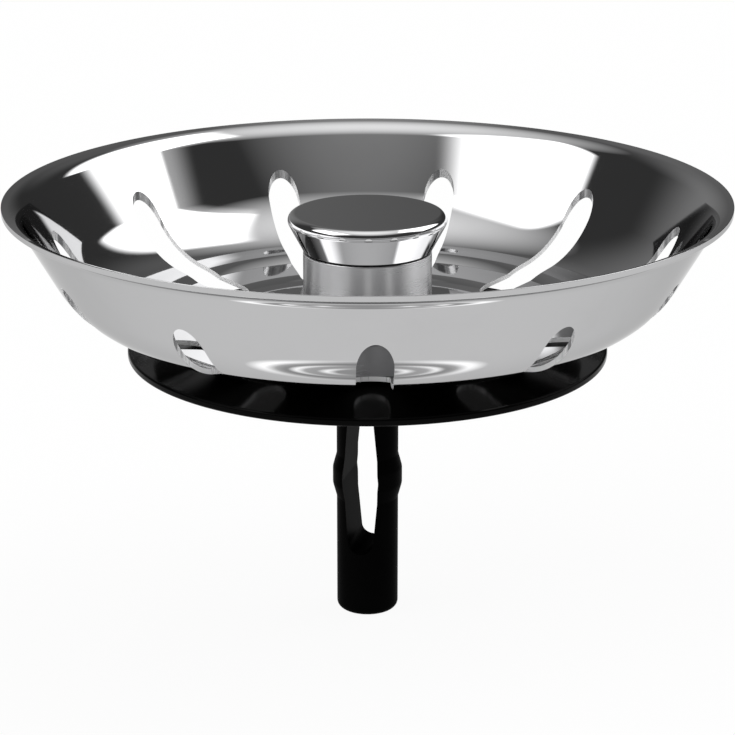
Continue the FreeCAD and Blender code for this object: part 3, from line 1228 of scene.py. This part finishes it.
KEY_BOX = Softbox(
    bearing=28.7,
    elevation=47.8,
    roll=-8.8,
    left=Side(0.49, 0.02),
    right=Side(0.28, 0.07),
    bottom=Side(0.475, 0.035),
    top=Side(0.31, 0.05),
    strength=2.4,
)
KEY_FRINGE = replace(KEY_BOX, left=Side(0.6, 0.1), strength=0.6)
FILL_BOX = Softbox(
    bearing=216.0,
    elevation=56.3,
    roll=-20.0,
    left=Side(0.585, 0.06),
    right=Side(0.23, 0.1),
    bottom=Side(0.635, 0.06),
    top=Side(0.03, 0.08),
    strength=3.0,
)
FAINT_GLOW = Softbox(
    bearing=78.0,
    elevation=42.0,
    roll=0.0,
    left=Side(0.3, 0.2),
    right=Side(0.3, 0.2),
    bottom=Side(0.3, 0.25),
    top=Side(0.3, 0.25),
    strength=0.11,
)
BACK_GLOW = Softbox(
    bearing=110.0,
    elevation=2.0,
    roll=0.0,
    left=Side(0.37, 0.37),
    right=Side(0.37, 0.37),
    bottom=Side(0.6, 0.6),
    top=Side(0.6, 0.6),
    strength=0.3,
)


@dataclass
class Studio:
    """A pale floor, soft light and the camera."""

    floor_size: float = 4.0
    floor_colour: Colour = (0.9, 0.9, 0.9)
    floor_glow: float = 0.94
    floor_level: float = 0.94
    pool_tilt: float = 7.0
    pool_reach: float = 24.0
    pool_gain: float = 2.0
    # Pairs of a share of the pool's reach and a level there
    pool_middle: tuple[Pair, ...] = (
        (0.0, 0.24), (0.42, 0.27), (0.56, 0.18), (0.7, 0.38), (0.76, 0.5), (0.84, 0.47),
    )
    pool_sides: tuple[Pair, ...] = (
        (0.2, 0.0), (0.27, 0.65), (0.34, 0.05), (0.42, 0.08), (0.48, 0.75),
        (0.54, 0.06), (0.62, 0.1), (0.71, 0.7), (0.78, 0.3), (0.85, 0.0),
    )
    dim_level: float = 0.05
    horizon_blur: float = 0.02
    ceiling_tilt: float = 1.0
    ceiling_start: float = 0.675
    ceiling_slope: float = 4.15
    ceiling_level: float = 1.38
    boxes: tuple[Softbox, ...] = (KEY_BOX, KEY_FRINGE, FILL_BOX, FAINT_GLOW, BACK_GLOW)
    camera_distance: float = 286.49
    camera_height: float = 70.63
    camera_pitch: float = 17.72
    camera_turn: float = -1.32
    camera_lens: float = 124.86
    camera_clip: float = 10.0
    sensor: float = 36.0

    def lay_floor(self, level: float) -> None:
        """Lay the floor.

        Args:
            level: Its height in metres.
        """
        grid = bmesh.new()
        bmesh.ops.create_grid(grid, x_segments=1, y_segments=1, size=self.floor_size / 2)
        bmesh.ops.translate(grid, verts=grid.verts[:], vec=(0, 0, level))
        floor = bpy.data.objects.new("floor", to_mesh(grid, "floor"))
        bpy.context.scene.collection.objects.link(floor)
        floor.visible_glossy = False
        floor.visible_diffuse = False
        floor.visible_shadow = False
        material = bpy.data.materials.new("pale_floor")
        material.use_nodes = True
        graph = Graph(material.node_tree)
        rays = graph.outlets(graph.node("ShaderNodeLightPath"))
        seen = sum(rays[name] for name in ("Is Camera Ray", "Is Glossy Ray", "Is Transmission Ray"))
        pale = graph.node("ShaderNodeBsdfDiffuse", sockets={"Color": (*self.floor_colour, 1.0)})
        strength = self.floor_level + rays["Is Camera Ray"] * (1 - self.floor_level)
        glow = graph.node("ShaderNodeEmission", sockets={"Color": WHITE, "Strength": strength})
        share = seen.at_most(1.0) * self.floor_glow
        mixed = graph.node("ShaderNodeMixShader", sockets={0: share, 1: pale, 2: glow})
        graph.node("ShaderNodeOutputMaterial", sockets={"Surface": mixed})
        floor.data.materials.append(material)

    def ground(self, graph: Graph, direction: Wire) -> Wire:
        """The white ground, as mirrors show it: even, with a rippled pool of light almost straight below.

        Args:
            graph: The world's graph.
            direction: The direction, as a unit vector.

        Returns:
            A wire with its level.
        """
        tilt = math.radians(self.pool_tilt)
        towards = graph.along(direction, Vector((0.0, math.sin(tilt), -math.cos(tilt))))
        share = towards.at_most(1.0).arc_cosine() / math.radians(self.pool_reach)
        sideways = graph.along(direction, Vector((1.0, 0.0, 0.0)))
        flank = sideways * sideways / (1 - towards * towards).at_least(NEAR_ZERO)
        middle = graph.node("ShaderNodeValToRGB", {"stops": self.pool_middle}, {"Fac": share})
        sides = graph.node("ShaderNodeValToRGB", {"stops": self.pool_sides}, {"Fac": share})
        return (middle + sides * flank) * self.pool_gain

    def light(self) -> None:
        """Make the world: a dim ceiling with soft boxes, white below the horizon and to the camera."""
        world = bpy.data.worlds.new("studio")
        world.use_nodes = True
        bpy.context.scene.world = world
        graph = Graph(world.node_tree)
        direction = graph.node("ShaderNodeTexCoord", output="Generated")
        height = graph.parts(direction)[2]
        tilt = math.radians(self.ceiling_tilt)
        overhead = graph.along(direction, Vector((0.0, -math.sin(tilt), math.cos(tilt))))
        rise = (overhead - self.ceiling_start) * self.ceiling_slope
        ceiling = rise.at_least(0.0).at_most(self.ceiling_level)
        boxes = sum(box.light(graph, direction) for box in self.boxes)
        above = graph.smooth_step(height, -self.horizon_blur, self.horizon_blur)
        level = (boxes + ceiling + self.dim_level) * above + (1 - above) * self.ground(graph, direction)
        camera = graph.node("ShaderNodeLightPath", output="Is Camera Ray")
        strength = level * (1 - camera) + camera
        shader = graph.node("ShaderNodeBackground", sockets={"Color": WHITE, "Strength": strength})
        graph.node("ShaderNodeOutputWorld", sockets={"Surface": shader})

    def set_camera(self, rim: float) -> None:
        """Put the camera where the photograph was taken from.

        Args:
            rim: The height of the bowl's rim in millimetres.
        """
        data = bpy.data.cameras.new("camera")
        data.lens = self.camera_lens
        data.sensor_width = self.sensor
        data.clip_start = self.camera_clip * MM
        camera = bpy.data.objects.new("camera", data)
        turn = math.radians(self.camera_turn)
        camera.location = (
            self.camera_distance * math.sin(turn) * MM,
            -self.camera_distance * math.cos(turn) * MM,
            (rim + self.camera_height) * MM,
        )
        camera.rotation_euler = (math.radians(RIGHT_ANGLE - self.camera_pitch), 0.0, turn)
        bpy.context.scene.collection.objects.link(camera)
        bpy.context.scene.camera = camera

    def build(self, rim: float, level: float) -> None:
        """Set the stage.

        Args:
            rim: The height of the bowl's rim in millimetres.
            level: The height of the floor in metres.
        """
        self.lay_floor(level)
        self.light()
        self.set_camera(rim)
        bpy.context.scene.view_settings.view_transform = "Standard"


def main() -> None:
    """Build the sub-assemblies in order, dress what is kept and set the stage."""
    logging.basicConfig(level=logging.INFO, format="%(name)s: %(message)s")
    bowl = PressedBowl()
    for assembly in (bowl, Knob(), SealDisc(), SprungStem()):
        for piece in assembly.build():
            piece.hand_over()
    HiddenCore().dress()
    Studio().build(bowl.envelope.high, CAD_BOX[0].z)


if __name__ == "__main__":
    main()
